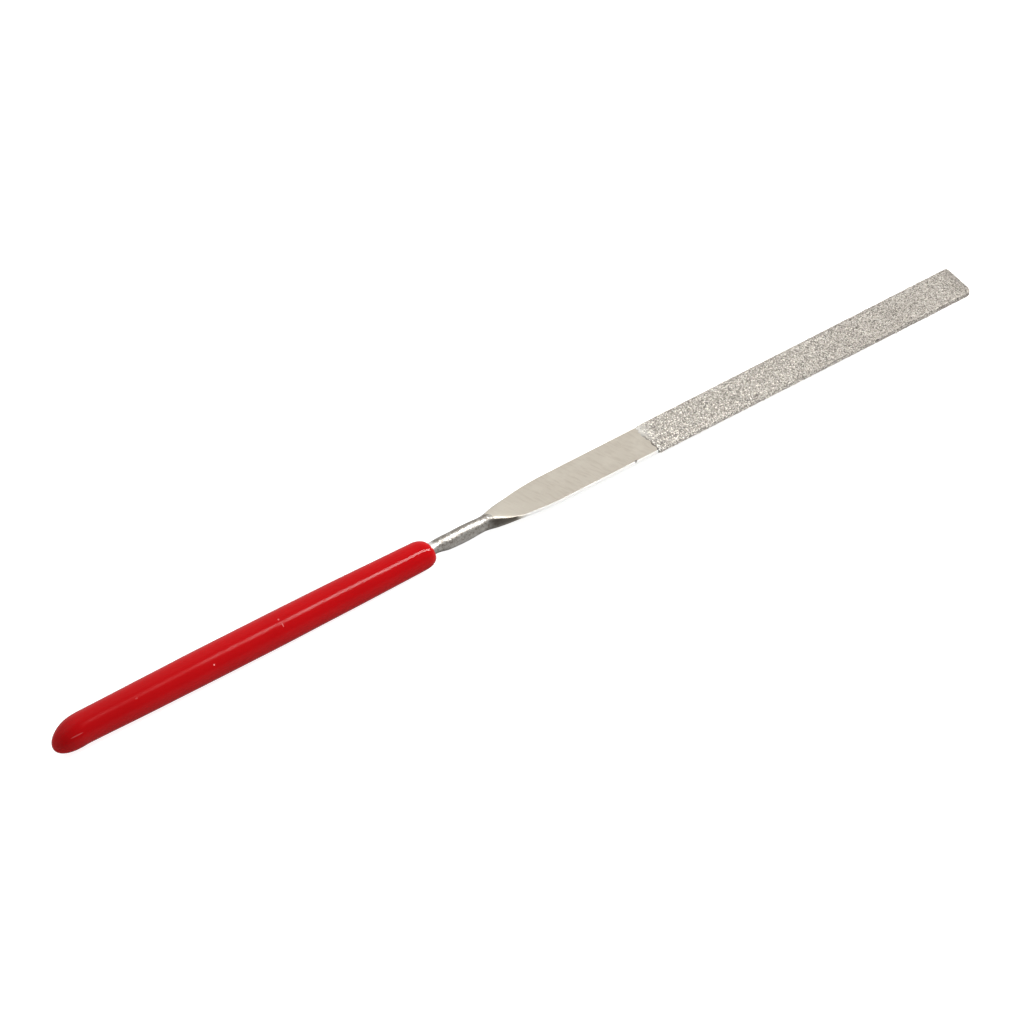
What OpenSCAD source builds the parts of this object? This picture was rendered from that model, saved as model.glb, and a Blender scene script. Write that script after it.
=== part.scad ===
// Flat diamond-grit needle file with a dipped vinyl grip.
//
// +X runs from the butt of the grip to the tip of the blade and +Z is up, so the two flat
// faces look up and down. The origin lies under the middle of the file, level with the
// underside of the grip.

/* [Overall] */
// Length from the butt of the grip to the coated tip
file_length = 140; // [136:0.5:150]

/* [Grip] */
// Length of the dipped sleeve
grip_length = 58; // [56:0.1:60]
// Diameter of the straight belly
belly_d = 4.45; // [4.3:0.05:4.7]
// Distance from the butt to the start of the belly
belly_start = 20; // [14:0.5:22]
// Length of the belly
belly_length = 8; // [6:0.5:16]
// Diameter behind the belly, where the rounded butt begins
butt_d = 4.14; // [4:0.02:4.28]
// Diameter where the rounded end around the mouth begins
mouth_d = 3.84; // [3.8:0.02:4.2]
// Length of that rounded end
mouth_length = 1.7; // [1:0.1:2.4]
// How far it closes in on the neck, in radius
mouth_drop = 0.92; // [0.5:0.02:0.92]
// Length of the domed end at the butt
dome_length = 2; // [1.5:0.1:3]
// Diameter of the small flat that is left on the dome
dome_flat_d = 1.2; // [0.6:0.1:2]
// Radius of the soft slope along one side of the butt
slope_round = 5.3; // [5:0.1:6]
// Distance from the butt to the point where that slope runs out
slope_end = 4.7; // [4.5:0.1:5]
// Direction the slope faces, turned from straight up towards +Y
slope_roll = 45; // [0:5:90]

/* [Steel blank] */
// Diameter of the round tang inside the sleeve
tang_d = 3; // [2.8:0.05:3.1]
// Distance from the butt to the pointed end of the tang
tang_start = 1.5; // [1.5:0.1:3]
// Diameter of the small flat on the tang's end
tang_end_d = 1.2; // [0.8:0.1:1.4]
// Length of the tang's pointed end
tang_point_length = 1.8; // [1.6:0.1:3]
// Diameter of the neck
neck_d = 2; // [1.8:0.02:2.2]
// Diameter of the slight waist where the neck leaves the sleeve
waist_d = 1.7; // [1.6:0.02:1.9]
// Length of the taper from the tang down to the waist
shoulder_length = 2.6; // [2:0.1:4]
// Length of the taper from the waist up to the neck
waist_length = 2.4; // [1:0.1:3]
// Distance from the butt to the start of the flare
flare_start = 66.8; // [65:0.1:69]
// Length over which the flare widens to the blade
flare_length = 10.5; // [9:0.5:14]
// Length over which the neck is forged down to the blade
forge_length = 4.6; // [4:0.1:8]
// Width of the bare blade
blade_w = 4.95; // [4.6:0.05:5.4]
// Thickness of the bare blade
blade_t = 0.56; // [0.5:0.02:1]

/* [Abrasive coating] */
// Distance from the butt to the edge of the coating
coating_start = 91.4; // [88:0.1:96]
// Height of the bonded grit over the steel
coating_t = 0.15; // [0.08:0.01:0.2]
// Radius of the tip's corners, seen from above
tip_round = 0.6; // [0.4:0.05:1]

/* [Hidden] */
$fn = 96;
CURVE_STEPS = 12;
// How far a cutting solid reaches past the solid that it cuts
CLEAR = 3;
// Keeps the forged faces off the neck's own surface where they begin
FORGE_LIFT = 0.01;
// Keeps the soft slope off the belly where it runs out
SLOPE_LIFT = 0.05;

neck_r = neck_d / 2;
blade_half_w = blade_w / 2;
blade_half_t = blade_t / 2;
belly_r = belly_d / 2;
belly_end = belly_start + belly_length;
steel_end = file_length - coating_t;
shoulder_start = grip_length - shoulder_length;

// Solids are drawn along the file's own axis and laid in the frame from there
module in_frame() {
    translate([-file_length / 2, 0, belly_r]) children();
}

// Turns an outline of [distance from the butt, radius] points about the file's axis
module turned(outline) {
    rotate([0, 90, 0]) rotate_extrude() polygon([for (p = outline) [p[1], p[0]]]);
}

// A quarter ellipse that starts at [x, r] along the file and rounds off towards the tip,
// by reach along the file and drop in radius
function quarter(x, r, reach, drop) = [
    for (i = [0:CURVE_STEPS])
        let (a = 90 * i / CURVE_STEPS) [x + reach * sin(a), r - drop * (1 - cos(a))]
];

// Eases from 1 down to 0 along a parabola that ends level
function settle(u) = pow(1 - u, 2);

// Points of a double curve that leaves value a level and meets value b level
function ogee(x, length, a, b) = [
    for (i = [0:CURVE_STEPS])
        let (u = i / CURVE_STEPS) [x + length * u, b + (a - b) * (1 + cos(180 * u)) / 2]
];

// Points of a parabola that eases from value a to value b over the given length
function ease(x, length, a, b) = [
    for (i = [0:CURVE_STEPS])
        let (u = i / CURVE_STEPS) [x + length * u, b + (a - b) * settle(u)]
];

function reversed(list) = [for (i = [len(list) - 1:-1:0]) list[i]];

// The same outline turned to face the butt, with x = 0 as the mirror
function facing_butt(list) = [for (p = reversed(list)) [-p[0], p[1]]];

// The bare blank turned about its axis, before its faces are forged flat
module blank_round() {
    tip_r = tip_round - coating_t;
    turned(concat(
        [
            [tang_start, 0],
            [tang_start, tang_end_d / 2],
            [tang_start + tang_point_length, tang_d / 2],
            [shoulder_start, tang_d / 2],
            [grip_length, waist_d / 2],
            [grip_length + waist_length, neck_r]
        ],
        ease(flare_start, flare_length, neck_r, blade_half_w),
        quarter(steel_end - tip_r, blade_half_w, tip_r, tip_r),
        [[steel_end, 0]]
    ));
}

// Everything between the two forged faces: open along the neck, then down to the blade
module forged_space() {
    upper = concat(
        [[0, CLEAR], [flare_start, CLEAR]],
        ogee(flare_start, forge_length, neck_r + FORGE_LIFT, blade_half_t),
        [[file_length + CLEAR, blade_half_t]]
    );
    lower = [for (p = reversed(upper)) [p[0], -p[1]]];
    rotate([90, 0, 0])
        linear_extrude(height = blade_w + CLEAR, center = true)
            polygon(concat(upper, lower));
}

module blank_solid() {
    intersection() {
        blank_round();
        forged_space();
    }
}

// The soft slope: everything under a ball that is carried on as a round bar
module slope_space() {
    drop = slope_round - belly_r - SLOPE_LIFT;
    rotate([-slope_roll, 0, 0]) translate([slope_end, 0, -drop]) {
        sphere(r = slope_round);
        rotate([0, 90, 0]) cylinder(r = slope_round, h = grip_length);
    }
}

module grip_outside() {
    butt_r = butt_d / 2;
    intersection() {
        turned(concat(
            [[0, 0]],
            facing_butt(quarter(-dome_length, butt_r, dome_length, butt_r - dome_flat_d / 2)),
            [[belly_start, belly_r], [belly_end, belly_r]],
            quarter(grip_length - mouth_length, mouth_d / 2, mouth_length, mouth_drop),
            [[grip_length, 0]]
        ));
        slope_space();
    }
}

module coating_outside() {
    outer_r = blade_half_w + coating_t;
    intersection() {
        turned(concat(
            [[coating_start, 0], [coating_start, outer_r]],
            quarter(file_length - tip_round, outer_r, tip_round, tip_round),
            [[file_length, 0]]
        ));
        translate([0, -blade_w, -blade_half_t - coating_t])
            cube([file_length + CLEAR, 2 * blade_w, blade_t + 2 * coating_t]);
    }
}

// One forged piece: round tang, neck and flat blade
module steel_blank() {
    color([0.80, 0.77, 0.71]) in_frame() blank_solid();
}

// Closed sleeve, dipped over the tang and touching it all round
module vinyl_grip() {
    color([0.76, 0.07, 0.09]) in_frame() difference() {
        grip_outside();
        blank_solid();
    }
}

// Skin of grit bonded over both faces, both edges and the tip
module abrasive_coating() {
    color([0.72, 0.70, 0.67]) in_frame() difference() {
        coating_outside();
        blank_solid();
    }
}

steel_blank();
vinyl_grip();
abrasive_coating();
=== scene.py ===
"""A flat diamond-grit needle file with a dipped vinyl grip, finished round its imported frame.

Lengths in the tables below are in millimetres, measured from the butt of the grip along the
file, and become metres in the row frame when a mesh is made. The file runs along +X, and its
flat faces look up and down.
"""
import math

import bpy
import numpy as np
from mathutils import Matrix, Vector


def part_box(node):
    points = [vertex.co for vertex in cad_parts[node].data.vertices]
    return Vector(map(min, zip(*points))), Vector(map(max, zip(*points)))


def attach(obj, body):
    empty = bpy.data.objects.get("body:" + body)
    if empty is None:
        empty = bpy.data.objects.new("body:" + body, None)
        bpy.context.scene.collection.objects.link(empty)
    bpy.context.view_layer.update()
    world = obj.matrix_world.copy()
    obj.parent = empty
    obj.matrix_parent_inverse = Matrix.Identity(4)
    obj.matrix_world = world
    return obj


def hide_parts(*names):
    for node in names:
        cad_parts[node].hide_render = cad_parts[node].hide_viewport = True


MM = 0.001

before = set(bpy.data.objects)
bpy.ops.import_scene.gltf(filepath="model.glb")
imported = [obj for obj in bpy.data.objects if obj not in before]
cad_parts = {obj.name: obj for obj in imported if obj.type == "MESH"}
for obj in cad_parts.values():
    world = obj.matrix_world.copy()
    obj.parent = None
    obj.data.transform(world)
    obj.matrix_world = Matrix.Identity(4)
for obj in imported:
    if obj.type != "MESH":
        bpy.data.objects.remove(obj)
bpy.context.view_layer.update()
grip_low, grip_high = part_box("vinyl_grip")
coat_low, coat_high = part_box("abrasive_coating")
steel_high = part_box("steel_blank")[1]

# ---------------------------------------------------------------- sizes, in millimetres
BUTT_X = grip_low.x / MM
AXIS_Z = (grip_low.z + grip_high.z) / 2 / MM
FILE_LENGTH = (coat_high.x - grip_low.x) / MM
GRIP_LENGTH = (grip_high.x - grip_low.x) / MM
BELLY_R = (grip_high.z - grip_low.z) / 2 / MM
COAT_START = (coat_low.x - grip_low.x) / MM
COAT_HALF_W = (coat_high.y - coat_low.y) / 2 / MM
COAT_HALF_T = (coat_high.z - coat_low.z) / 2 / MM
COAT_T = (coat_high.x - steel_high.x) / MM
BLADE_HALF_W = COAT_HALF_W - COAT_T
BLADE_HALF_T = COAT_HALF_T - COAT_T
STEEL_END = FILE_LENGTH - COAT_T

# Grip: the straight belly, how much radius is lost from it to each end, and by which power
BELLY_START = 22.0
BELLY_END = 27.0
BUTT_THINNING = 0.17
BUTT_POWER = 1.3
MOUTH_THINNING = 0.335
MOUTH_POWER = 2
# The butt's dome is pushed over to one side, and the push dies out along the grip
DOME_LENGTH = 3.9
DOME_OFFSET = 0.62
DOME_OFFSET_LENGTH = 5.0
DOME_OFFSET_POWER = 1.6
DOME_ROLL = math.radians(45)
# The mouth's rounded end, and the lean that carries one side of it along the neck
MOUTH_LENGTH = 1.7
MOUTH_DROP = 0.92
MOUTH_TILT = 0.127
LEAN_ROLL = math.radians(41)
# Gap between sleeve and tang, and the height of the slow waves left by dipping
WALL_CLEARANCE = 0.004
DIP_WAVE = 0.008

# Steel blank: tang and the waist where the neck leaves the sleeve
TANG_START = 1.5
TANG_END_R = 0.6
TANG_POINT_LENGTH = 1.8
TANG_R = 1.5
SHOULDER_LENGTH = 2.6
WAIST_R = 0.85
WAIST_FLAT = 0.9
WAIST_LENGTH = 2.4
WAIST_OFFSET = 0.15
# Neck: bells as height, middle and width, and a slight oval that fades out along the flare
NECK_R = 1.0
NECK_SWELL = (0.045, 63.0, 1.6)
NECK_PINCH = (0.07, 66.6, 1.7)
NECK_OVAL = 0.11
NECK_OVAL_END = 69
NECK_OVAL_ROLL = math.radians(70)
NECK_OVAL_NARROWING = 0.45
# Flare and blade, with the widths over which forged edges are rounded
FLARE_START = 66.8
FLARE_LENGTH = 10.5
FLARE_SOFTNESS = 0.3
FORGE_LENGTH = 4.6
EDGE_SOFTNESS = 0.12
HOLLOW_SOFTNESS = (0.65, FLARE_START + 2.4, 1.6)
TIP_ROUND = 0.6
TIP_ROUND_FAR = 0.3
# How strongly a section's points are drawn together at its edges and its flat sides' middles
POINT_BUNCHING = 0.21

# Coating: the nickel skin, its start and its lumps
BOND_T = 0.10
BOND_START_T = 0.03
EDGE_ROUND = 0.14
EDGE_RAGGED = 0.16
EDGE_RAGGED_LENGTH = 1.5
BUILD_UP_NEAR = 0.25
BUILD_UP_FAR = 1.9
FINE_LUMP = 0.012
COARSE_LUMP = 0.008
# Grains: size, how far they stand over the steel, and how much both vary
GRAIN_SIZE = 0.225
GRAIN_SIZE_SPREAD = (0.68, 1.26)
GRAIN_STRETCH = (0.8, 1.15)
GRAIN_TIP = 0.16
GRAIN_TIP_SPREAD = 0.03
GRAIN_PITCH = 0.225
ROW_PITCH = 0.93 * GRAIN_PITCH
PLACE_SPREAD = 0.36
SPARSE_SHARE = 0.4
SEED = 11


# ---------------------------------------------------------------- mesh making
def in_frame(points):
    """Points in millimetres along the file's own axis, placed in the row frame in metres."""
    return (np.asarray(points, float) + [BUTT_X, 0.0, AXIS_Z]) * MM


def signed_volume(points, faces):
    """Sum of the tetrahedra from the origin to each face's first corner fan."""
    a, b, c = (points[faces[:, k]] for k in range(3))
    volume = np.einsum("ij,ij->", a, np.cross(b, c))
    if faces.shape[1] == 4:
        d = points[faces[:, 3]]
        volume += np.einsum("ij,ij->", a, np.cross(c, d))
    return volume / 6


def mesh_piece(name, points, quads, triangles, smooth=True):
    """A mesh object from arrays of points, quads and triangles, its faces turned outwards."""
    volume = signed_volume(points, quads) + signed_volume(points, triangles)
    if volume < 0:
        quads, triangles = quads[:, ::-1], triangles[:, ::-1]
    mesh = bpy.data.meshes.new(name)
    mesh.vertices.add(len(points))
    mesh.vertices.foreach_set("co", in_frame(points).ravel())
    corners = np.concatenate([quads.ravel(), triangles.ravel()])
    sizes = np.concatenate([np.full(len(quads), 4), np.full(len(triangles), 3)])
    mesh.loops.add(len(corners))
    mesh.loops.foreach_set("vertex_index", corners.astype(np.int32))
    mesh.polygons.add(len(sizes))
    starts = np.concatenate([[0], np.cumsum(sizes)[:-1]])
    mesh.polygons.foreach_set("loop_start", starts.astype(np.int32))
    mesh.polygons.foreach_set("use_smooth", np.full(len(sizes), smooth))
    mesh.update(calc_edges=True)
    mesh.validate()
    piece = bpy.data.objects.new(name, mesh)
    bpy.context.scene.collection.objects.link(piece)
    return piece


def tube_piece(name, rings):
    """A closed skin through an array of rings, shaped rings x points x 3.

    Point j of ring i joins point j + 1 of ring i + 1, wrapping round, and each end ring
    closes on a pole at its own middle.
    """
    count, around = rings.shape[:2]
    points = np.concatenate([rings.reshape(-1, 3), rings[[0, -1]].mean(1)])
    i, j = np.meshgrid(np.arange(count - 1), np.arange(around), indexing="ij")
    here, there = i * around, (i + 1) * around
    j_next = (j + 1) % around
    quads = np.stack([here + j, here + j_next, there + j_next, there + j], -1).reshape(-1, 4)
    k = np.arange(around)
    k_next = (k + 1) % around
    last = (count - 1) * around
    first_pole, last_pole = count * around, count * around + 1
    caps = [
        np.stack([np.full(around, first_pole), k_next, k], -1),
        np.stack([np.full(around, last_pole), last + k, last + k_next], -1),
    ]
    return mesh_piece(name, points, quads, np.concatenate(caps))


def point_value(piece, name, values):
    """Gives each point of a piece one number that its material can read."""
    store = piece.data.attributes.new(name, "FLOAT", "POINT")
    store.data.foreach_set("value", np.asarray(values, np.float32).ravel())


def smooth_min(a, b, width):
    """The smaller of two arrays, with a rounded step of the given width where they cross."""
    overlap = np.maximum(width - np.abs(a - b), 0) / width
    return np.minimum(a, b) - overlap**2 * width / 4


# ---------------------------------------------------------------- grip
def grip_radius(x):
    """Belly radius, less a gentle power law towards the butt and another to the mouth."""
    back = np.clip((BELLY_START - x) / BELLY_START, 0, 1)
    front = np.clip((x - BELLY_END) / (GRIP_LENGTH - BELLY_END), 0, 1)
    return BELLY_R - BUTT_THINNING * back**BUTT_POWER - MOUTH_THINNING * front**MOUTH_POWER


def tang_radius(x):
    """Radius of the tang, the waist and the neck, by straight tapers from one to the next."""
    stations = [TANG_START, TANG_START + TANG_POINT_LENGTH, GRIP_LENGTH - SHOULDER_LENGTH]
    stations += [GRIP_LENGTH, GRIP_LENGTH + WAIST_FLAT, GRIP_LENGTH + WAIST_LENGTH]
    return np.interp(x, stations, [TANG_END_R, TANG_R, TANG_R, WAIST_R, WAIST_R, NECK_R])


def grip_profile():
    """The sleeve's outline as x and radius: butt dome, belly, rounded mouth, then the socket.

    The dome and the mouth are quarter ellipses, and the socket follows the tang back to its
    pointed end.
    """
    turn = np.linspace(0.02, 1, 40) * math.pi / 2
    dome_x = DOME_LENGTH * (1 - np.cos(turn))
    dome_r = grip_radius(dome_x) * np.sin(turn)
    body_x = np.linspace(DOME_LENGTH, GRIP_LENGTH - MOUTH_LENGTH, 260)[1:]
    body_r = grip_radius(body_x)
    turn = np.linspace(0, 1, 36)[1:] * math.pi / 2
    mouth_x = GRIP_LENGTH - MOUTH_LENGTH * (1 - np.sin(turn))
    mouth_r = body_r[-1] - MOUTH_DROP * (1 - np.cos(turn))
    socket_x = np.linspace(GRIP_LENGTH - 0.02, TANG_START, 60)
    socket_r = tang_radius(socket_x) + WALL_CLEARANCE
    x = np.concatenate([dome_x, body_x, mouth_x, socket_x])
    r = np.concatenate([dome_r, body_r, mouth_r, socket_r])
    outside = np.arange(len(x)) < len(x) - len(socket_x)
    return x, r, outside


def make_grip():
    """The outline turned about the axis, its butt sections pushed away from the slope side.

    Towards the mouth each section leans, so that the side facing -Y and down reaches further
    along the neck. Two slow sine waves along the grip stand for the uneven dip.
    """
    x, r, outside = grip_profile()
    angle = np.linspace(0, 2 * math.pi, 144, endpoint=False)
    fading = np.clip(1 - x / DOME_OFFSET_LENGTH, 0, 1) ** DOME_OFFSET_POWER
    drift = DOME_OFFSET * fading * outside
    wave = np.sin(x / 3.1 + 0.4)[:, None] * np.cos(angle - 0.8) + np.sin(x / 1.7)[:, None] * 0.5
    radius = r[:, None] + DIP_WAVE * wave * (outside & (x < GRIP_LENGTH - MOUTH_LENGTH))[:, None]
    y = radius * np.cos(angle) - (drift * math.sin(DOME_ROLL))[:, None]
    z = radius * np.sin(angle) - (drift * math.cos(DOME_ROLL))[:, None]
    lean = MOUTH_TILT * np.clip((x - GRIP_LENGTH) / MOUTH_LENGTH + 2, 0, 1) * outside
    low_side = -(y * math.cos(LEAN_ROLL) + z * math.sin(LEAN_ROLL))
    rings = np.stack([x[:, None] + lean[:, None] * low_side, y, z], -1)
    return tube_piece("grip_sleeve", rings)


# ---------------------------------------------------------------- steel blank
def bell(x, height, middle, width):
    """A bell curve of the given height: height * exp(-((x - middle) / width)^2)."""
    return height * np.exp(-(((x - middle) / width) ** 2))


def blank_radius(x):
    """Tang, waist and neck, then a parabola that widens the flare out to the blade.

    The neck also swells by one bell curve and is then pinched by another.
    """
    u = np.minimum((x - FLARE_START) / FLARE_LENGTH, 1)
    flare = BLADE_HALF_W - (BLADE_HALF_W - NECK_R) * (1 - u) ** 2
    neck = tang_radius(x) + bell(x, *NECK_SWELL) - bell(x, *NECK_PINCH)
    radius = -smooth_min(-neck, -flare, FLARE_SOFTNESS)
    corner = np.clip((x - (STEEL_END - TIP_ROUND + COAT_T)) / (TIP_ROUND - COAT_T), 0, 1)
    return radius - (TIP_ROUND - COAT_T) * (1 - np.sqrt(1 - corner**2))


def blank_half_thickness(x):
    """Half the gap between the forged faces: open over the neck, then half a cosine down."""
    u = np.clip((x - FLARE_START) / FORGE_LENGTH, 0, 1)
    forged = BLADE_HALF_T + (NECK_R - BLADE_HALF_T) * (1 + np.cos(math.pi * u)) / 2
    return forged + np.clip(FLARE_START - x, 0, 2)


def make_blank():
    """Each section is a circle cut by two flats, with the cut edge rounded by a soft minimum.

    Along the neck the circle is drawn in to a slight oval, radius * (1 - oval * (narrowing -
    cos(2 * (angle - roll)))), and the waist is set a little off the axis. The rounding is
    widest in the hollow under the flare. Each point keeps how far it lies on the side walls,
    from 0 to 1, as its "wall" value.
    """
    x = np.concatenate([
        np.linspace(TANG_START, TANG_START + TANG_POINT_LENGTH, 6),
        np.linspace(5, GRIP_LENGTH - SHOULDER_LENGTH, 8),
        np.linspace(GRIP_LENGTH - SHOULDER_LENGTH + 0.2, GRIP_LENGTH + WAIST_LENGTH, 24),
        np.linspace(GRIP_LENGTH + WAIST_LENGTH + 0.2, FLARE_START - 0.6, 24),
        np.linspace(FLARE_START - 0.5, FLARE_START + FLARE_LENGTH, 160),
        np.linspace(FLARE_START + FLARE_LENGTH + 0.4, STEEL_END - TIP_ROUND, 60),
        STEEL_END - (TIP_ROUND - COAT_T) * (1 - np.sin(np.linspace(0.05, 1, 10) * math.pi / 2)),
    ])
    radius, half_t = blank_radius(x), blank_half_thickness(x)
    turn = np.linspace(0, 2 * math.pi, 192, endpoint=False)
    turn = turn + POINT_BUNCHING * np.sin(4 * turn)
    aspect = np.minimum(half_t / radius, 1)[:, None]
    angle = np.arctan2(aspect * np.sin(turn), np.cos(turn))
    flat = half_t[:, None] / np.maximum(np.abs(np.sin(angle)), 1e-6)
    bare = np.clip((x - GRIP_LENGTH) / (NECK_OVAL_END - GRIP_LENGTH), 0, 1)
    oval = NECK_OVAL * np.sin(math.pi * bare)[:, None]
    lobes = np.cos(2 * (angle - NECK_OVAL_ROLL))
    radius = radius[:, None] * (1 - oval * (NECK_OVAL_NARROWING - lobes))
    softness = (EDGE_SOFTNESS + bell(x, *HOLLOW_SOFTNESS))[:, None]
    reach = smooth_min(radius, flat, softness)
    offset = bell(x, WAIST_OFFSET, GRIP_LENGTH + 1.0, 1.3)[:, None]
    y = reach * np.cos(angle) + offset * math.cos(LEAN_ROLL)
    z = reach * np.sin(angle) + offset * math.sin(LEAN_ROLL)
    rings = np.stack([np.broadcast_to(x[:, None], y.shape), y, z], -1)
    piece = tube_piece("blank_steel", rings)
    on_wall = np.clip((flat - radius) / (0.5 * softness) - 0.5, 0, 1)
    point_value(piece, "wall", np.append(on_wall, [0, 0]))
    return piece


# ---------------------------------------------------------------- coating
def noise_sheet(rng, shape, cell):
    """Smooth random heights from -1 to 1: random values on a coarse grid, eased between."""
    rows, columns = (int(math.ceil(n / cell)) + 2 for n in shape)
    coarse = rng.uniform(-1, 1, (rows, columns))
    i, j = np.meshgrid(np.arange(shape[0]) / cell, np.arange(shape[1]) / cell, indexing="ij")
    i0, j0 = i.astype(int), j.astype(int)
    u, v = i - i0, j - j0
    u, v = u * u * (3 - 2 * u), v * v * (3 - 2 * v)
    near = coarse[i0, j0] * (1 - v) + coarse[i0, j0 + 1] * v
    far = coarse[i0 + 1, j0] * (1 - v) + coarse[i0 + 1, j0 + 1] * v
    return near * (1 - u) + far * u


def coat_section(share, half_w, half_t):
    """Points and outward normals of a rounded rectangle, by share of the way round it.

    The straight runs and the quarter-circle corners are laid end to end along its length.
    """
    run_w, run_t = 2 * (half_w - EDGE_ROUND), 2 * (half_t - EDGE_ROUND)
    arc = EDGE_ROUND * math.pi / 2
    lengths = np.array([run_w, arc, run_t, arc, run_w, arc, run_t, arc])
    ends = np.cumsum(lengths)
    s = (share % 1) * ends[-1]
    part = np.searchsorted(ends, s, side="right").clip(0, 7)
    along = s - (ends - lengths)[part]
    side = part // 2
    turned = np.where(part % 2 == 1, along / EDGE_ROUND, 0)
    facing = math.pi / 2 - side * math.pi / 2 - turned
    normal = np.stack([np.cos(facing), np.sin(facing)], -1)
    corner_y = (half_w - EDGE_ROUND) * np.array([1, 1, -1, -1])[side]
    corner_z = (half_t - EDGE_ROUND) * np.array([1, -1, -1, 1])[side]
    back = np.where(part % 2 == 0, lengths[part] - along, 0)
    run = np.stack([[1, 0, -1, 0], [0, -1, 0, 1]], -1)[side]
    middle = np.stack([corner_y, corner_z], -1) - back[..., None] * run
    return middle + EDGE_ROUND * normal, normal


def tip_inset(x, y):
    """How far the outline has drawn in at its tip corners, the -Y one rounder than the other."""
    radius = np.where(y > 0, TIP_ROUND_FAR, TIP_ROUND)
    corner = np.clip((x - FILE_LENGTH) / radius + 1, 0, 1)
    return radius * (1 - np.sqrt(1 - corner**2))


def build_up(x, y):
    """How far the coating has grown to its full height, from 0 at its edge to 1.

    It is a smooth step over a distance that lengthens from the -Y side to the +Y side.
    """
    length = BUILD_UP_NEAR + (BUILD_UP_FAR - BUILD_UP_NEAR) * np.clip(0.5 + y / 4, 0, 1) ** 2
    u = np.clip((x - COAT_START) / length, 0, 1)
    return u * u * (3 - 2 * u)


def make_bond(rng):
    """The nickel skin: a rounded rectangle carried along the blade, its surface lumpy.

    The profile starts inside the steel, climbs out at a ragged edge, runs to the tip and
    closes on a pole in the middle of the tip face.
    """
    around, along = 132, 440
    share = np.arange(around) / around
    half_w, half_t = BLADE_HALF_W + BOND_T, BLADE_HALF_T + BOND_T
    x = np.linspace(COAT_START, FILE_LENGTH - COAT_T + BOND_T, along)
    x[1:4] = COAT_START + np.array([0.01, 0.03, 0.06])
    emerging = np.array([-0.03, 0.005, 0.02, 0.03])
    lumps = FINE_LUMP * noise_sheet(rng, (along, around), 2.0)
    lumps = lumps + COARSE_LUMP * noise_sheet(rng, (along, around), 5.0)
    ragged = EDGE_RAGGED * noise_sheet(rng, (1, around), 3.0)[0]
    yz, normal = coat_section(share, half_w, half_t)
    lift = BOND_START_T + (BOND_T - BOND_START_T) * build_up(x[:, None], yz[None, :, 0])
    lift[:4] = emerging[:, None]
    yz = yz[None] + normal[None] * (lift - BOND_T)[..., None]
    lumps[:5] *= 0.2
    yz = yz + normal[None] * lumps[..., None]
    inset = tip_inset(x[:, None] + COAT_T - BOND_T, yz[..., 0])
    yz[..., 0] = np.sign(yz[..., 0]) * np.maximum(np.abs(yz[..., 0]) - inset, 0.0)
    shift = ragged[None] * np.clip(1 - (x - COAT_START) / EDGE_RAGGED_LENGTH, 0, 1)[:, None]
    rings = np.concatenate([(x[:, None] + shift)[..., None], yz], -1)
    return tube_piece("nickel_bond", rings)


GRAIN_CORNERS = np.array(
    [[0, a, b] for a in (-1, 1) for b in (-1, 1)]
    + [[a, 0, b] for a in (-1, 1) for b in (-1, 1)]
    + [[a, b, 0] for a in (-1, 1) for b in (-1, 1)], float) / math.sqrt(2)


def grain_faces():
    """The six squares and eight triangles of a cuboctahedron, as corners in turn."""
    squares, triangles = [], []
    for axis in range(3):
        for sign in (-1, 1):
            ring = [k for k in range(12) if GRAIN_CORNERS[k][axis] * sign > 0.5]
            other = [a for a in range(3) if a != axis]
            flat = GRAIN_CORNERS[:, other]
            turn = [math.atan2(flat[k][1], flat[k][0]) for k in ring]
            squares.append([k for _, k in sorted(zip(turn, ring))])
    for sx in (-1, 1):
        for sy in (-1, 1):
            for sz in (-1, 1):
                outward = np.array([sx, sy, sz])
                triangles.append(list(np.argsort(-GRAIN_CORNERS @ outward)[:3]))
    return facing_out(np.array(squares)), facing_out(np.array(triangles))


def facing_out(faces):
    """Each face's corners in the order that points its normal away from the middle."""
    a, b, c = (GRAIN_CORNERS[faces[:, k]] for k in range(3))
    inward = np.einsum("ij,ij->i", np.cross(b - a, c - a), a) < 0
    return np.where(inward[:, None], faces[:, ::-1], faces)


def random_turns(rng, count):
    """Uniform random rotation matrices, from normalised random quaternions."""
    w, x, y, z = np.moveaxis(rng.normal(size=(count, 4)), 1, 0)
    length = np.sqrt(w * w + x * x + y * y + z * z)
    w, x, y, z = w / length, x / length, y / length, z / length
    rows = [
        [1 - 2 * (y * y + z * z), 2 * (x * y - z * w), 2 * (x * z + y * w)],
        [2 * (x * y + z * w), 1 - 2 * (x * x + z * z), 2 * (y * z - x * w)],
        [2 * (x * z - y * w), 2 * (y * z + x * w), 1 - 2 * (x * x + y * y)],
    ]
    return np.moveaxis(np.array(rows), 2, 0)


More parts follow.
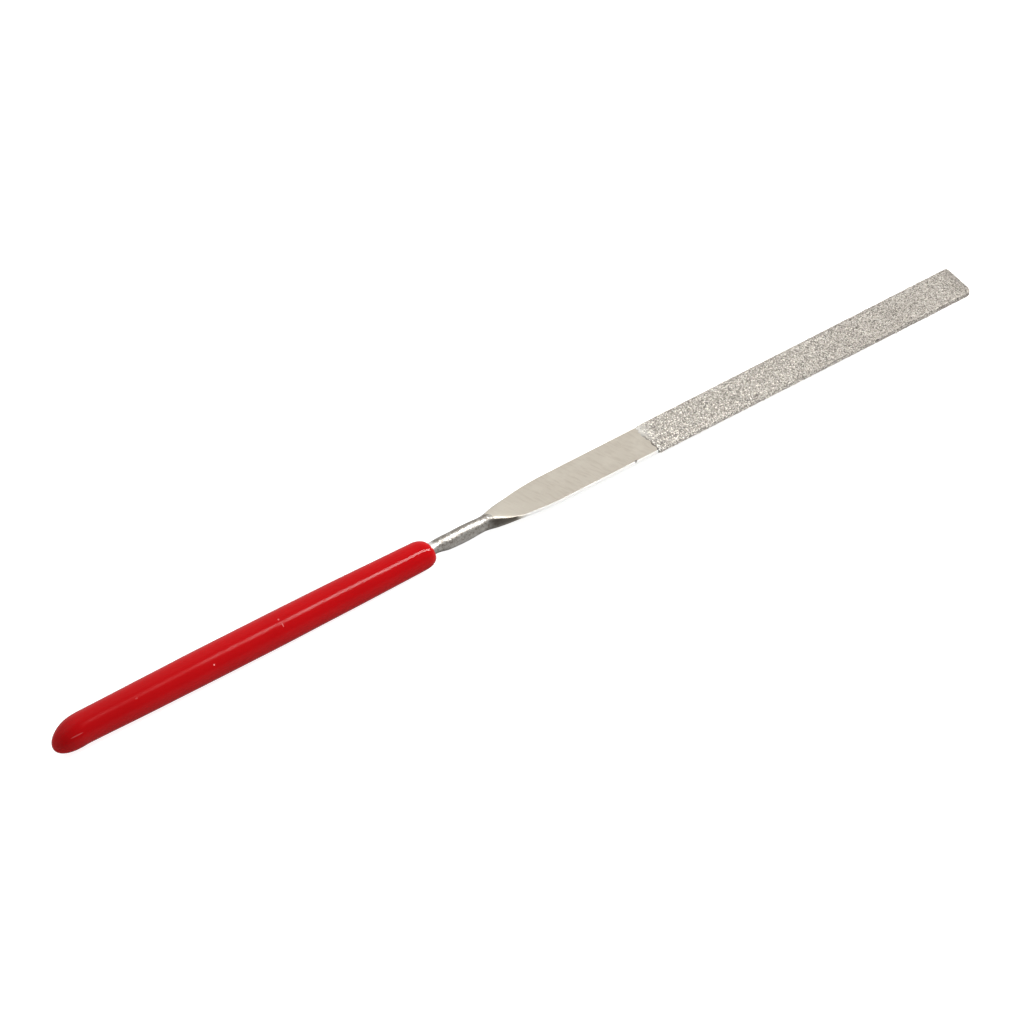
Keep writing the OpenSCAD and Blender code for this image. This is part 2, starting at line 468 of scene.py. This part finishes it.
def make_grit(name, rng, x, share):
    """A cuboctahedral grain at each place, turned at random and sunk part way in the bond.

    Its "grain_tone" value is random too, held darker at the rims and the tip, and raised on the side
    walls as painted light.
    """
    count = len(x)
    yz, normal = coat_section(share, BLADE_HALF_W + BOND_T, BLADE_HALF_T + BOND_T)
    size = GRAIN_SIZE * rng.uniform(*GRAIN_SIZE_SPREAD, count)
    sink = GRAIN_TIP - BOND_T - size / 2 + rng.normal(0, GRAIN_TIP_SPREAD, count)
    sink = sink - 0.8 * (BOND_T - BOND_START_T) * (1 - build_up(x, yz[:, 0]))
    inset = tip_inset(x + COAT_T, yz[:, 0])
    yz = yz + normal * sink[:, None]
    yz[:, 0] = np.sign(yz[:, 0]) * np.maximum(np.abs(yz[:, 0]) - inset, 0)
    middle = np.column_stack([x, yz])
    stretch = rng.uniform(*GRAIN_STRETCH, (count, 1, 3))
    corners = np.einsum("nij,kj->nki", random_turns(rng, count), GRAIN_CORNERS)
    points = (middle[:, None] + corners * stretch * (size / 2)[:, None, None]).reshape(-1, 3)
    squares, triangles = grain_faces()
    offset = (np.arange(count) * len(GRAIN_CORNERS))[:, None, None]
    piece = mesh_piece(name, points, (squares[None] + offset).reshape(-1, 4),
                       (triangles[None] + offset).reshape(-1, 3), smooth=False)
    near_rim = np.clip((np.abs(yz[:, 0]) - BLADE_HALF_W + 0.35) / 0.3, 0, 1) * np.abs(normal[:, 1])
    near_tip = np.clip((x - FILE_LENGTH + 1.6) / 1.2, 0, 1)
    # darker tone at the rims and the tip, towards the end of the blade
    rim_and_tip_darkening = np.clip((x - 92) / 30, 0, 1) * np.maximum(near_rim, near_tip)
    # painted light: grains on the side walls get a lighter tone, standing for the pale floor they
    # mirror
    tone = rng.uniform(0, 1, count) * (1 - 0.7 * rim_and_tip_darkening) + 0.10 * np.abs(normal[:, 0])
    point_value(piece, "grain_tone", np.repeat(tone, len(GRAIN_CORNERS)))
    return piece


def grit_places(rng):
    """A jittered lattice over the blade's wrapped surface, as x and share of the way round.

    Only a part of the grains is kept where the coating is still building up.
    """
    length = FILE_LENGTH - COAT_START
    girth = 4 * (COAT_HALF_W + COAT_HALF_T) - 8 * EDGE_ROUND + 2 * math.pi * EDGE_ROUND
    rows, columns = int(length / ROW_PITCH), int(girth / GRAIN_PITCH)
    i, j = np.meshgrid(np.arange(rows), np.arange(columns), indexing="ij")
    jitter = rng.uniform(-PLACE_SPREAD, PLACE_SPREAD, (2, rows, columns))
    x = COAT_START + 0.12 + (i + 0.5 + jitter[0]) * (length - 0.2) / rows
    share = (j + 0.5 * (i % 2) + jitter[1]) / columns
    x, share = x.ravel(), share.ravel()
    yz, _ = coat_section(share, COAT_HALF_W, COAT_HALF_T)
    density = SPARSE_SHARE + (1 - SPARSE_SHARE) * build_up(x, yz[:, 0])
    kept = rng.uniform(0, 1, len(x)) < density
    return x[kept], share[kept]


# ---------------------------------------------------------------- shader building
class Value:
    """A socket that takes part in Python expressions. Each operator adds one Math node."""

    def __init__(self, tree, socket):
        self.tree, self.socket = tree, socket

    def math(self, operation, *values):
        return self.tree.node("ShaderNodeMath", {"operation": operation}, dict(enumerate(values)))

    def __add__(self, other):
        return self.math("ADD", self, other)

    def __sub__(self, other):
        return self.math("SUBTRACT", self, other)

    def __rsub__(self, other):
        return self.math("SUBTRACT", other, self)

    def __mul__(self, other):
        return self.math("MULTIPLY", self, other)

    def __truediv__(self, other):
        return self.math("DIVIDE", self, other)

    def __pow__(self, other):
        return self.math("POWER", self, other)

    def __gt__(self, other):
        return self.math("GREATER_THAN", self, other)

    def __lt__(self, other):
        return self.math("LESS_THAN", self, other)

    __radd__ = __add__
    __rmul__ = __mul__

    def at_least(self, other):
        """The larger of this value and the other."""
        return self.math("MAXIMUM", self, other)

    def within(self, low, high):
        """0 at low and 1 at high, clamped, with a smooth step between."""
        return self.tree.node("ShaderNodeMapRange", {"interpolation_type": "SMOOTHSTEP"},
                              {"Value": self, "From Min": low, "From Max": high})


class Finish:
    """A material or world as a node tree that functions add nodes to."""

    def __init__(self, name, owner=None):
        self.data = owner or bpy.data.materials.new(name)
        self.data.use_nodes = True
        self.tree = self.data.node_tree
        self.tree.nodes.clear()

    def node(self, kind, settings=None, inputs=None, output=0):
        """Adds a node: settings first, then its inputs as values or links."""
        made = self.tree.nodes.new(kind)
        for name, value in (settings or {}).items():
            setattr(made, name, value)
        for name, value in (inputs or {}).items():
            if isinstance(value, Value):
                self.tree.links.new(value.socket, made.inputs[name])
            else:
                made.inputs[name].default_value = value
        return Value(self, made.outputs[output]) if made.outputs else made

    def place(self):
        """Object coordinates, in metres."""
        return self.node("ShaderNodeTexCoord", output="Object")

    def where(self):
        """Where a point lies, in millimetres: along from the butt, across, and up from the axis."""
        own = self.place()
        x, y, z = (self.part(own, axis) for axis in "XYZ")
        return x / MM - BUTT_X, y / MM, z / MM - AXIS_Z

    def part(self, vector, axis):
        """The X, Y or Z part of a vector."""
        return self.node("ShaderNodeSeparateXYZ", {}, {"Vector": vector}, output=axis)

    def attribute(self, name):
        return self.node("ShaderNodeAttribute", {"attribute_name": name}, output="Fac")

    def noise(self, vector, scale, detail=2.0, rough=0.5):
        return self.node("ShaderNodeTexNoise", {},
                         {"Vector": vector, "Scale": scale, "Detail": detail, "Roughness": rough})

    def mix(self, factor, a, b):
        """Colour a where factor is 0 and colour b where it is 1."""
        return self.node("ShaderNodeMix", {"data_type": "RGBA"}, {0: factor, 6: a, 7: b}, output=2)

    def bump(self, height, strength, distance):
        return self.node("ShaderNodeBump", {},
                         {"Height": height, "Strength": strength, "Distance": distance})

    def principled(self, **inputs):
        """Ends the material in one Principled shader."""
        named = {name.replace("_", " "): value for name, value in inputs.items()}
        shader = self.node("ShaderNodeBsdfPrincipled", {}, named)
        self.node("ShaderNodeOutputMaterial", {}, {"Surface": shader})
        return self.data


def colour(red, green, blue):
    return (red, green, blue, 1.0)


# ---------------------------------------------------------------- materials
def spot(u, v, u_half, v_half):
    """1 inside an ellipse of the given half sizes, easing to 0 at its rim."""
    return ((u / u_half) ** 2 + (v / v_half) ** 2).within(1.0, 0.4)


def down_near_side(across, up):
    """How far down a point lies on the side that faces -Y and up, in mm from its middle."""
    return across * -0.755 - up * 0.655


def vinyl_finish():
    """Glossy red dip: a slow change of depth, faint orange peel, a nick, a speck and painted
    highlights.

    The red deepens towards the butt, and the underside is darkened as painted shade. The nick,
    the speck and the painted highlights lie only on the near side, and the vinyl is glossiest
    towards the mouth.
    """
    made = Finish("red_vinyl")
    own = made.place()
    along, across, up = made.where()
    slow = made.noise(own, 180, 2)
    fine = made.noise(own, 1500, 3)
    red = made.mix(slow, colour(0.326, 0.0017, 0.0028), colour(0.372, 0.0024, 0.0039))
    red = made.mix(along.within(24, 2) * 0.6, red, colour(0.285, 0.0015, 0.0026))
    # painted shade: the red is darkened on the underside, which gets less light from above
    red = made.mix(up.within(1.9, -2.0) * 0.62, red, colour(0.185, 0.0010, 0.0018))
    down = down_near_side(across, up)
    near = (up * 0.757 - across * 0.653) > 0
    nick = spot(along - 34.3, down + 0.91, 0.12, 0.14) + spot(along - 34.4, down + 0.06, 0.08, 0.30)
    speck = spot(along - 23.6, down - 0.46, 0.12, 0.12)
    # painted highlights: a pale streak on the butt's slope and a small spot beside the main highlight
    # stand for reflected light
    painted_highlights = spot(along - 2.7, down - 0.55, 1.0, 0.10) + spot(along - 12.1, down + 0.19, 0.24, 0.12)
    # the nick and the speck are real marks, and the rest are painted highlights
    marks_and_painted_highlights = nick * 0.35 + speck * 0.75 + painted_highlights * 0.10
    pale = made.mix(marks_and_painted_highlights * near, red, colour(0.82, 0.38, 0.38))
    return made.principled(
        Base_Color=pale,
        Roughness=0.13 + fine * 0.06 - along.within(49, 56) * 0.06,
        Specular_IOR_Level=0.10,
        Normal=made.bump(slow * 0.7 + fine * 0.02, 0.18, 0.0004),
    )


def steel_finish():
    """Warm plated steel: skewed grinding lines on the flats, a pitted neck, painted reflection on the
    side walls.

    Painted shade darkens the hollow side of the flare, a painted dark reflection runs along the far
    side of the neck, its lower side is lightened as painted reflection, and a little clear vinyl
    whitens the neck where it leaves the grip. The flats are lightened towards the flare as painted
    light. A small notch sits on one edge of the blade.
    """
    made = Finish("plated_steel")
    own = made.place()
    along, across, up = made.where()
    wall = made.attribute("wall")
    skewed = made.node("ShaderNodeMapping", {}, {"Vector": own, "Rotation": (0, 0, -0.305)})
    stretched = made.node("ShaderNodeMapping", {}, {"Vector": skewed, "Scale": (2600, 420, 420)})
    lines = made.noise(stretched, 1.0, 3, 0.6)
    pits = made.noise(own, 3900, 2)
    dents = made.noise(own, 2100, 2)
    slow = made.noise(own, 130, 2)
    cloud = made.noise(own, 420, 3, 0.6)
    tone = made.mix(slow, colour(0.725, 0.66, 0.56), colour(0.79, 0.725, 0.62))
    tone = made.mix(lines.within(0.44, 0.68) * 0.55, tone, colour(0.63, 0.56, 0.465))
    tone = made.mix(cloud.within(0.48, 0.70) * 0.5, tone, colour(0.84, 0.78, 0.67))
    # painted light: the flats are lightened towards the flare, where their tilt catches more light
    tone = made.mix(along.within(77, 70) * 0.4, tone, colour(0.84, 0.78, 0.67))
    # The flat face begins along a slanted line, and the neck's pits stop there
    flat_start = FLARE_START + 0.45 - 0.9 * across.at_least(-0.1)
    neck = along.within(70.0, 66.5) * (along < flat_start).at_least(wall)
    tone = made.mix(neck, tone, colour(0.49, 0.468, 0.43))
    tone = made.mix(neck * dents.within(0.50, 0.34) * 0.35, tone, colour(0.78, 0.75, 0.70))
    tone = made.mix(neck * pits.within(0.50, 0.62) * 0.7, tone, colour(0.26, 0.215, 0.18))
    # painted reflection: the neck's lower near side is lightened where it mirrors the pale floor
    painted_floor_reflection = neck * down_near_side(across, up).within(0.62, 0.95) * along.within(66.5, 64)
    tone = made.mix(painted_floor_reflection * 0.55, tone, colour(0.84, 0.82, 0.77))
    # painted reflection: a dark line along the neck's far side stands for dark surroundings mirrored
    # there
    painted_dark_reflection = neck * (up > 0) * across.within(-0.02, 0.10) * across.within(0.42, 0.26)
    tone = made.mix(painted_dark_reflection * dents.within(0.25, 0.55) * 0.5, tone, colour(0.17, 0.135, 0.10))
    film = along.within(58.9, 58.2) * across.within(-0.75, -0.35)
    tone = made.mix(film * 0.7, tone, colour(0.80, 0.79, 0.77))
    # painted reflection: the side walls are whitened and made less metallic, standing for the pale
    # floor they mirror
    side = wall * along.within(70.0, 72.0)
    tone = made.mix(side, tone, colour(0.97, 0.96, 0.93))
    # painted shade: the hollow under the start of the flare is darkened where it faces down into
    # shadow
    scale = wall.within(0.0, 0.4) * along.within(65.9, 67.5) * along.within(70.9, 69.9)
    scale = scale * up.within(-0.7, 0.15) * up.within(0.9, 0.55)
    tone = made.mix(scale * 0.9, tone, colour(0.10, 0.085, 0.07))
    notch = spot(along - 88.0, across + 2.40, 0.28, 0.10) * (up > 0)
    tone = made.mix(notch * 0.8, tone, colour(0.10, 0.08, 0.06))
    return made.principled(
        Base_Color=tone,
        Metallic=1.0 - side * 0.6 - film * 0.4,
        Roughness=0.27 + lines * 0.12 + neck * 0.08,
        Normal=made.bump(lines * 0.5 + pits * (0.5 + neck * 1.5) + dents * neck * 5.0, 0.22, 0.00004),
    )


def bond_finish():
    """Matt nickel between the grains, pale where it is thin, with a painted shadow along its ragged
    edge.
    """
    made = Finish("nickel_bond")
    along, across, _ = made.where()
    fine = made.noise(made.place(), 5200, 3)
    tone = made.mix(fine.within(0.35, 0.65), colour(0.12, 0.108, 0.094), colour(0.44, 0.405, 0.36))
    thin = across.within(-2.0, 2.4) * along.within(COAT_START + 2, COAT_START)
    tone = made.mix(thin, tone, colour(0.62, 0.60, 0.56))
    # painted shadow: a dark line along the coating's ragged start edge
    rim = along.within(COAT_START + 0.30, COAT_START + 0.02) * fine.within(0.36, 0.58)
    tone = made.mix(rim * across.within(1.6, -0.2) * 0.85, tone, colour(0.15, 0.12, 0.10))
    corner = spot(along - COAT_START - 0.15, across + 2.45, 0.40, 0.26)
    tone = made.mix(corner * 0.85, tone, colour(0.05, 0.05, 0.055))
    return made.principled(
        Base_Color=tone,
        Metallic=0.6,
        Roughness=0.52 + fine * 0.1,
        Normal=made.bump(fine, 0.5, 0.00004),
    )


def grit_finish():
    """Pale crystals half in nickel, each with its own tone, darker towards the tip, and lightened as
    painted light along the -Y edge.
    """
    made = Finish("bonded_grit")
    tone = made.attribute("grain_tone")
    body = made.mix(tone, colour(0.325, 0.30, 0.262), colour(1.0, 0.96, 0.88))
    along, across, _ = made.where()
    # painted light: the -Y edge is lightened, standing for the pale floor it mirrors
    near_edge = across.within(-1.5, -2.2) * along.within(120, 100)
    body = made.mix(near_edge * 0.2, body, colour(0.95, 0.91, 0.84))
    # darker towards the tip
    body = made.mix(along.within(92, 142) * 0.62, body, colour(0.36, 0.335, 0.30))
    body = made.mix(along.within(138.2, 139.6) * 0.55, body, colour(0.24, 0.225, 0.20))
    return made.principled(Base_Color=body, Metallic=0.20, Roughness=0.50 + tone * 0.12)


def floor_finish():
    """A white table that glows a little, so that shadows on it stay faint."""
    made = Finish("pale_floor")
    grain = made.noise(made.place(), 40, 2)
    white = made.mix(grain, colour(0.40, 0.40, 0.40), colour(0.42, 0.42, 0.42))
    return made.principled(
        Base_Color=white,
        Roughness=0.9,
        Emission_Color=white,
        Emission_Strength=2.15,
    )


# ---------------------------------------------------------------- camera, light and floor
# Lengths from here on are in metres
CAMERA_TURN = math.radians(-36.8)
CAMERA_RISE = math.radians(42.9)
CAMERA_DISTANCE = 6.0
VIEW_WIDTH = 0.12645
AIM = Vector((0.00053, -0.0002, 0.00194))
FLOOR_HALF = 3.0


def make_camera():
    """A long lens, so that the file hardly narrows with distance."""
    data = bpy.data.cameras.new("camera")
    camera = bpy.data.objects.new("camera", data)
    bpy.context.scene.collection.objects.link(camera)
    back = Vector((math.sin(CAMERA_TURN) * math.cos(CAMERA_RISE),
                   -math.cos(CAMERA_TURN) * math.cos(CAMERA_RISE), math.sin(CAMERA_RISE)))
    camera.location = AIM + back * CAMERA_DISTANCE
    camera.rotation_mode = "QUATERNION"
    camera.rotation_quaternion = (-back).to_track_quat("-Z", "Y")
    data.sensor_width = 36
    data.lens = data.sensor_width * CAMERA_DISTANCE / VIEW_WIDTH
    data.clip_start, data.clip_end = 0.05, 50
    bpy.context.scene.camera = camera


def make_light(name, direction, distance, size, power, shift=0.0, glossy=True):
    """A rectangular soft box that looks down at the file, its long side laid along the file.

    The direction is where it stands as seen from the file, and shift moves it along its
    own long side.
    """
    data = bpy.data.lights.new(name, "AREA")
    data.shape = "RECTANGLE"
    data.size, data.size_y = size
    data.energy = power
    light = bpy.data.objects.new(name, data)
    bpy.context.scene.collection.objects.link(light)
    towards = Vector(direction).normalized()
    along = (Vector((1, 0, 0)) - towards * towards.x).normalized()
    light.location = towards * distance + along * shift
    light.rotation_mode = "QUATERNION"
    axes = Matrix((along, towards.cross(along), towards)).transposed()
    light.rotation_quaternion = axes.to_quaternion()
    light.visible_glossy = glossy


def make_world():
    """Pale behind the file, dimmer in front of it and darkest under it, for steel to mirror.

    The sky beyond the butt is brighter again.
    """
    world = bpy.data.worlds.new("studio")
    bpy.context.scene.world = world
    made = Finish("studio", world)
    direction = made.node("ShaderNodeTexCoord", output="Generated")
    along, depth, height = (made.part(direction, axis) for axis in "XYZ")
    above = 0.36 + 0.56 * depth.within(-0.25, 0.55)
    below = 0.44 * height.within(-0.95, -0.55) + 0.28
    sky = above * height.within(-0.2, 0.2) + below * height.within(0.2, -0.2)
    sky = sky + 0.5 * along.within(-0.6, -0.95)
    background = made.node("ShaderNodeBackground", {}, {"Strength": sky})
    made.node("ShaderNodeOutputWorld", {}, {"Surface": background})


def make_floor():
    """A plane that touches the belly of the grip and the underside of the tip."""
    touch = Vector((grip_low.x + BELLY_END * MM, 0, 0))
    tip = Vector((coat_high.x, 0, coat_low.z))
    slope = (tip.z - touch.z) / (tip.x - touch.x)
    square = ((-1, -1), (1, -1), (1, 1), (-1, 1))
    flat = [(x * FLOOR_HALF, y * FLOOR_HALF) for x, y in square]
    corners = [(x, y, touch.z + (x - touch.x) * slope) for x, y in flat]
    mesh = bpy.data.meshes.new("floor")
    mesh.from_pydata(corners, [], [(0, 1, 2, 3)])
    floor = bpy.data.objects.new("floor", mesh)
    bpy.context.scene.collection.objects.link(floor)
    mesh.materials.append(floor_finish())
    floor.visible_glossy = False


# ---------------------------------------------------------------- putting it together
def dress(piece, material, node):
    """Gives a piece its material and slot, and lets it ride in place of its CAD node."""
    piece.data.materials.append(material)
    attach(piece, "root")
    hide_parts(node)


make_camera()
make_world()
make_floor()
make_light("strip", (0.439, -0.287, 0.851), 0.6, (0.5, 0.15), 6.6, shift=0.222)
make_light("top", (0.0, 0.55, 1.0), 1.5, (1.4, 1.4), 9.5, glossy=False)

random = np.random.default_rng(SEED)
dress(make_grip(), vinyl_finish(), "vinyl_grip")
dress(make_blank(), steel_finish(), "steel_blank")
dress(make_bond(random), bond_finish(), "abrasive_coating")
grit_x, grit_share = grit_places(random)
grit_material = grit_finish()
for part, chosen in enumerate((grit_share % 1 < 0.5, grit_share % 1 >= 0.5)):
    dress(make_grit(f"grit_{part + 1}", random, grit_x[chosen], grit_share[chosen]),
          grit_material, "abrasive_coating")

bpy.context.scene.view_settings.view_transform = "Standard"
